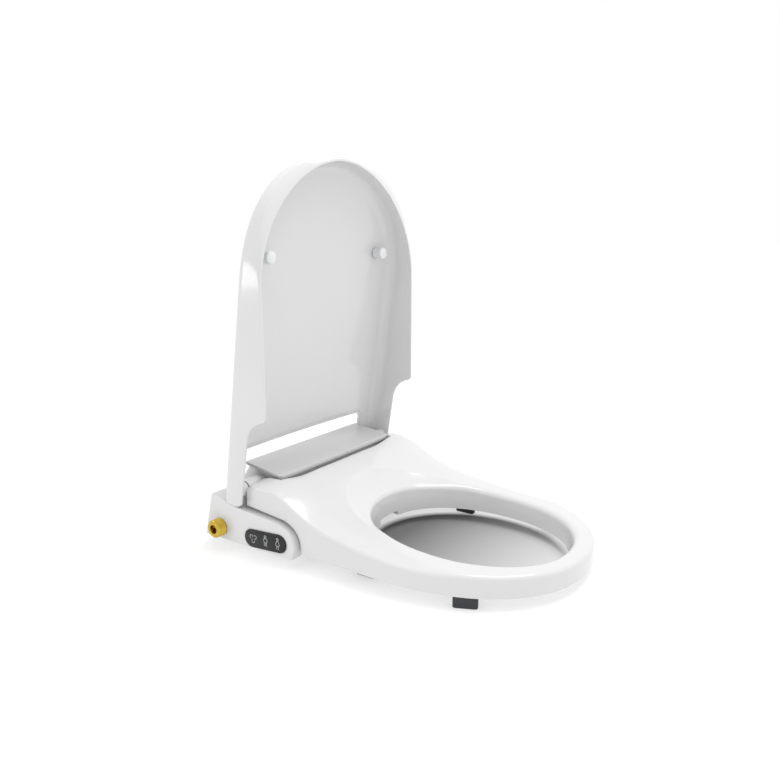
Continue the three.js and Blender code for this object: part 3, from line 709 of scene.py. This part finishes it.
# %% Smaller finishes
def textured(name, light, dark, roughness, scale, bump=0.2, metallic=0.0, stretch=(1, 1, 1), ior=None):
    """A finish with a grain: two close colours, an even roughness and a small relief."""
    made, tree, shader, place = material(name)
    turned = node(tree, "ShaderNodeMapping", Vector=place, Scale=stretch)
    grain = node(tree, "ShaderNodeTexNoise", Vector=(turned, "Vector"), Scale=scale, Detail=3.0)
    tint = node(
        tree, "ShaderNodeMix", {"data_type": "RGBA"}, Factor=(grain, "Fac"), i6=linear(light), i7=linear(dark)
    )
    link(tree, (tint, 2), shader, "Base Color")
    relief = node(tree, "ShaderNodeBump", Height=(grain, "Fac"), Strength=bump, Distance=0.0003)
    link(tree, (relief, "Normal"), shader, "Normal")
    shader.inputs["Roughness"].default_value = roughness
    shader.inputs["Metallic"].default_value = metallic
    if ior:
        shader.inputs["IOR"].default_value = ior
    return made


# Moulded rubber: a spark-eroded grain about 1 mm across, no gloss.
rubber = textured("rubber_dark_grey", "#313234", "#28292b", 0.62, 900, 0.3, ior=1.52)
# Key panel: black polycarbonate film, nearly smooth.
panel_film = textured("polycarbonate_film_black", "#0e0e10", "#0a0a0c", 0.3, 500, 0.03, ior=1.45)
# Turned brass: rings 0.4 mm apart, drawn twice as coarse to show.
brass = textured("brass_turned", "#d8bd55", "#b3913a", 0.22, 160, 0.15, metallic=1.0, stretch=(8, 1, 1))
# Drawn stainless steel: fine scratches along the piece.
steel = textured(
    "stainless_steel_drawn", "#cfd1d4", "#b4b7bb", 0.3, 700, 0.08, metallic=1.0, stretch=(1, 0.05, 1)
)
# Acetal: matt, slightly waxy grey.
acetal = textured("acetal_grey", "#aeb1b5", "#a3a6aa", 0.45, 300, 0.08, ior=1.48)
nylon = textured("nylon_black", "#1d1e20", "#17181a", 0.5, 400, 0.15, ior=1.53)
lacquer = textured("circuit_board_lacquer", "#1f6b45", "#195a3a", 0.35, 600, 0.1, ior=1.5)
silicone = textured("silicone_clear", "#e6e8e9", "#dadcde", 0.35, 60, 0.03, ior=1.41)
silicone.node_tree.nodes["Principled BSDF"].inputs["Subsurface Weight"].default_value = 0.3
silicone.node_tree.nodes["Principled BSDF"].inputs["Subsurface Scale"].default_value = 0.004
print(len(bpy.data.materials), "finishes")

# %% [markdown]
# ## Pieces that only need softer edges
# The frame's mesh of a prismatic piece is right, but its edges are razor sharp. A copy of it is
# merged, its flat faces are joined up again, and a small radius goes on every real edge. That
# is quicker and truer than drawing such a piece twice.


# %% Softened copies
def softened(name, finish_material, edge=0.4, segments=2, smooth=35):
    source = nodes[name]
    copy = bpy.data.objects.new(name + "_soft", source.data.copy())
    scene.collection.objects.link(copy)
    shell = bmesh.new()
    shell.from_mesh(copy.data)
    bmesh.ops.remove_doubles(shell, verts=shell.verts, dist=1e-6)
    bmesh.ops.dissolve_limit(shell, angle_limit=math.radians(1), verts=shell.verts, edges=shell.edges)
    shell.to_mesh(copy.data)
    shell.free()
    finish(copy, finish_material, edge, smooth, segments)
    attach(copy, source["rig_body"])
    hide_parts(name)
    return copy


SOFTENED = [
    (["cover_plate"], plate_abs_painted_shade, "white_plastic", 1.0, 4),
    (["control_panel"], panel_film, "black_panel", 0.5, 3),
    (["chassis_tray"], white_abs, "white_plastic", 0.5, 2),
    (["release_button"], white_abs, "white_plastic", 0.8, 3),
    (["release_latch"], acetal, "grey_plastic", 0.5, 2),
    (["guide_rail_left", "guide_rail_right", "mounting_plate"], acetal, "grey_plastic", 0.5, 2),
    (["mounting_pad", "cord_gland"], rubber, "rubber", 0.4, 2),
    (["lid_damper", "seat_damper"], nylon, "black_plastic", 0.5, 2),
    (["hinge_pin_left", "hinge_pin_right"], steel, "steel", 0.4, 2),
    (["front_nozzle_wand", "rear_nozzle_wand"], steel, "steel", 0.3, 2),
]
for names, finish_material, slot, edge, segments in SOFTENED:
    for name in names:
        softened(name, finish_material, edge, segments)

# %% [markdown]
# ## Feet and lid bumpers
# The seat rests on four rubber feet, and two soft buttons in the lid meet the seat when the
# lid closes. A foot is a block with a rounded outline and a slightly smaller sole. A bumper is
# turned, a stub with a domed end, so it is a loft of circles.

# %% Feet and bumpers
for corner in ("front_left", "front_right", "rear_left", "rear_right"):
    softened("seat_foot_" + corner, rubber, 1.2, 4)


def lid_bumper(side):
    low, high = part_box("lid_bumper_" + side)
    x, z = (low.x + high.x) / 2 / MM, (low.z + high.z) / 2 / MM
    radius, tip, root = (high.x - low.x) / 2 / MM, low.y / MM, high.y / MM
    profile = [(radius * 0.86, root), (radius * 0.86, tip + 6), (radius, tip + 4)]
    for i in range(9):
        turn = math.radians(90 * i / 8)
        profile.append((radius * math.cos(turn) * 0.999 + 0.001, tip + 2.5 * (1 - math.sin(turn))))
    circle = [2 * math.pi * k / 32 for k in range(32)]
    loops = [[(x + r * math.cos(a), y, z + r * math.sin(a)) for a in circle] for r, y in profile]
    bumper = finish(loft("lid_bumper_" + side + "_button", loops), silicone, 0)
    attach(bumper, "lid")
    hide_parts("lid_bumper_" + side)


for side in ("left", "right"):
    lid_bumper(side)

# %% [markdown]
# ## The water inlet
# The supply hose screws onto a brass fitting with a G3/4 thread: 26.4 mm across and 1.81 mm
# between crests. A thread is a helix, so each point's radius depends on how far along it is
# plus how far round. In the bore sits a strainer, which shows as a small cross.


# %% Brass inlet
def brass_inlet():
    low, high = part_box("inlet_fitting")
    outer, start, wall, end, pitch = INLET["radius"], low.x / MM, -184.3, high.x / MM, 1.81
    sides, rows, depth = 72, 100, 0.95
    places = [(start, outer - 1.9), (start + 0.8, outer - 1.1)]
    places += [(start + 1 + (wall - 1.6 - start) * i / rows, None) for i in range(rows + 1)]
    places += [(wall - 0.5, outer), (wall, outer - 0.3), (wall, INLET["neck"]), (end, INLET["neck"])]
    loops = []
    for x, radius in places:
        loop = []
        for k in range(sides):
            turn = 2 * math.pi * k / sides
            phase = ((x - start) / pitch + k / sides) % 1
            r = radius if radius is not None else outer - depth * (1 - abs(2 * phase - 1)) ** 1.2
            loop.append((x, INLET["y"] + r * math.cos(turn), INLET["z"] + r * math.sin(turn)))
        loops.append(loop)
    fitting = loft("water_inlet", loops)
    combine(fitting, [rod("bore", INLET["bore"], start - 2, -188, INLET["y"], INLET["z"])], "DIFFERENCE")
    bars = []
    for a, b in ((7, 0.9), (0.9, 7)):
        corners = [(INLET["y"] + s * a, INLET["z"] + t * b) for s, t in ((-1, -1), (1, -1), (1, 1), (-1, 1))]
        bars.append(prism("bar", corners, -192, -187))
    return combine(fitting, bars, "UNION")


inlet = finish(brass_inlet(), brass, 0)
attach(inlet, "base")
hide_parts("inlet_fitting")

# %% [markdown]
# ## Marks on the key panel
# The film has three printed symbols: warm air, and two washing positions. They are generic
# pictograms, drawn here as thin raised lines on the panel, each a closed or open path given
# in millimetres about its own middle.


# %% Panel marks
def arc(y, z, radius, start, stop, steps=14):
    turns = [math.radians(start + (stop - start) * i / steps) for i in range(steps + 1)]
    return [(y + radius * math.cos(t), z + radius * math.sin(t)) for t in turns]


def petal(degrees):
    turn = math.radians(degrees)
    return arc(4 * math.cos(turn), 4 * math.sin(turn), 2.7, degrees - 150, degrees + 110)


FAN_MARK = [petal(degrees) for degrees in (30, 150, 270)]
STANDING_MARK = [
    arc(0, 6.4, 1.8, 0, 360),
    [
        (-2.2, -7.5), (-2.2, -1), (-3.6, 0.2), (-3.2, 2.8), (-1.4, 3.6), (1.4, 3.6), (3.2, 2.8),
        (3.6, 0.2), (2.2, -1), (2.2, -7.5),
    ],
    [(0, -2), (0, -7.5)],
]
DRESS_MARK = [
    arc(0, 6.8, 1.7, 0, 360),
    [(-1.2, 4), (-2.2, 2.2), (-3.8, -1.6), (-1.6, -3.2), (-1.4, -8)],
    [(1.2, 4), (2.2, 2.2), (3.8, -1.6), (1.6, -3.2), (1.4, -8)],
    [(-1.2, 4), (1.2, 4)],
    [(-1.6, -3.2), (1.6, -3.2)],
]


def panel_mark(name, paths, y, z):
    low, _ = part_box("control_panel")
    curve = bpy.data.curves.new(name, "CURVE")
    curve.dimensions = "3D"
    curve.bevel_depth, curve.bevel_resolution = 0.42 * MM, 1
    for path in paths:
        spline = curve.splines.new("POLY")
        spline.points.add(len(path) - 1)
        for point, (a, b) in zip(spline.points, path):
            point.co = (low.x + 0.12 * MM, (y - a) * MM, (z + b) * MM, 1)
    drawn = bpy.data.objects.new(name, curve)
    scene.collection.objects.link(drawn)
    mesh = bpy.data.meshes.new_from_object(drawn.evaluated_get(bpy.context.evaluated_depsgraph_get()))
    bpy.data.objects.remove(drawn)
    mark = bpy.data.objects.new(name, mesh)
    scene.collection.objects.link(mark)
    finish(mark, print_ink, 0)
    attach(mark, "base")


# Screen-printed ink: flat light grey.
print_ink = textured("screen_print_grey", "#c9cacc", "#bfc0c2", 0.6, 400, 0.02)
panel_mark("mark_warm_air", FAN_MARK, -37.5, 29.2)
panel_mark("mark_rear_wash", STANDING_MARK, -61, 30.4)
panel_mark("mark_front_wash", DRESS_MARK, -84, 31.6)

# %% [markdown]
# ## Tray screws
# Four equal screws hold the tray under the base. What repeats is a job for Geometry Nodes: one
# screw is made from a head and a shank, and it is placed on four points. The tree's inputs are
# the screw's sizes, and it ends in real mesh, because an instance doesn't survive an export.


# %% Tray screws with Geometry Nodes
def screw_tree():
    tree = bpy.data.node_groups.new("tray_screws", "GeometryNodeTree")
    tree.interface.new_socket("Points", in_out="INPUT", socket_type="NodeSocketGeometry")
    for name in ("Head Radius", "Head Height", "Shank Radius", "Length"):
        tree.interface.new_socket(name, in_out="INPUT", socket_type="NodeSocketFloat")
    tree.interface.new_socket("Screws", in_out="OUTPUT", socket_type="NodeSocketGeometry")
    given = node(tree, "NodeGroupInput")
    cylinder = "GeometryNodeMeshCylinder"
    head = node(tree, cylinder, Vertices=32, Radius=(given, "Head Radius"), Depth=(given, "Head Height"))
    shank = node(tree, cylinder, Vertices=20, Radius=(given, "Shank Radius"), Depth=(given, "Length"))
    raised = node(tree, "ShaderNodeMath", {"operation": "MULTIPLY"}, i0=(given, "Length"), i1=0.5)
    lift = node(tree, "ShaderNodeCombineXYZ", Z=(raised, "Value"))
    above = node(tree, "GeometryNodeTransform", Geometry=(shank, "Mesh"), Translation=(lift, "Vector"))
    screw = node(tree, "GeometryNodeJoinGeometry")
    tree.links.new(head.outputs["Mesh"], screw.inputs[0])
    tree.links.new(above.outputs["Geometry"], screw.inputs[0])
    placed = node(
        tree, "GeometryNodeInstanceOnPoints", Points=(given, "Points"), Instance=(screw, "Geometry")
    )
    real = node(tree, "GeometryNodeRealizeInstances", Geometry=(placed, "Instances"))
    dressed = node(tree, "GeometryNodeSetMaterial", Geometry=(real, "Geometry"), Material=steel)
    out = node(tree, "NodeGroupOutput")
    tree.links.new(dressed.outputs["Geometry"], out.inputs["Screws"])
    return tree


def tray_screws():
    names = ["tray_screw_%d" % i for i in (1, 2, 3, 4)]
    boxes = [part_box(name) for name in names]
    low, high = boxes[0]
    head = 0.0018
    points = [((a.x + b.x) / 2 / MM, (a.y + b.y) / 2 / MM, (a.z + head / 2) / MM) for a, b in boxes]
    mesh = bpy.data.meshes.new("tray_screws")
    mesh.from_pydata([Vector(p) * MM for p in points], [], [])
    screws = bpy.data.objects.new("tray_screws", mesh)
    scene.collection.objects.link(screws)
    tree = screw_tree()
    modifier = screws.modifiers.new("screws", "NODES")
    modifier.node_group = tree
    radius = (high.x - low.x) / 2
    sizes = {
        "Head Radius": radius,
        "Head Height": head,
        "Shank Radius": radius * 0.5,
        "Length": high.z - low.z - head / 2,
    }
    for item in tree.interface.items_tree:
        if item.name in sizes:
            modifier[item.identifier] = sizes[item.name]
    apply_modifiers(screws)
    print("screws:", len(screws.data.vertices), "vertices")
    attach(screws, "base")
    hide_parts(*names)


tray_screws()

# %% [markdown]
# ## The works
# Everything inside the base shows only when the lid and seat are up, or from below. It gets the
# finish of its real material and a small radius on its edges, so that a light runs along them.

# %% The works
WORKS = [
    (["seat_bottom_shell"], white_abs, "white_plastic", 0.0),
    (["seat_heater_foil"], steel, "steel", 0.0),
    (["fan_scroll", "dryer_duct", "nozzle_guide"], acetal, "grey_plastic", 0.5),
    (["solenoid_valve", "diverter_valve"], acetal, "grey_plastic", 0.5),
    (["lid_bush_left", "lid_bush_right", "seat_bush_left", "seat_bush_right"], acetal, "grey_plastic", 0.3),
    (["front_nozzle_rack", "rear_nozzle_rack"], acetal, "grey_plastic", 0.1),
    (["front_drive_pinion", "rear_drive_pinion"], acetal, "grey_plastic", 0.1),
    (["fan_wheel", "power_module"], nylon, "black_plastic", 0.2),
    (["water_heater", "dryer_heater", "fan_motor", "diverter_motor"], steel, "steel", 0.4),
    (["front_nozzle_motor", "rear_nozzle_motor"], steel, "steel", 0.4),
    (["control_board", "panel_board"], lacquer, "board", 0.1),
    (["feed_hose", "heater_hose"], silicone, "hose", 0.0),
]
for names, finish_material, slot, edge in WORKS:
    for name in names:
        softened(name, finish_material, edge)
left_over = [name for name, piece in nodes.items() if not piece.hide_render]
print("nodes without a finish:", left_over)
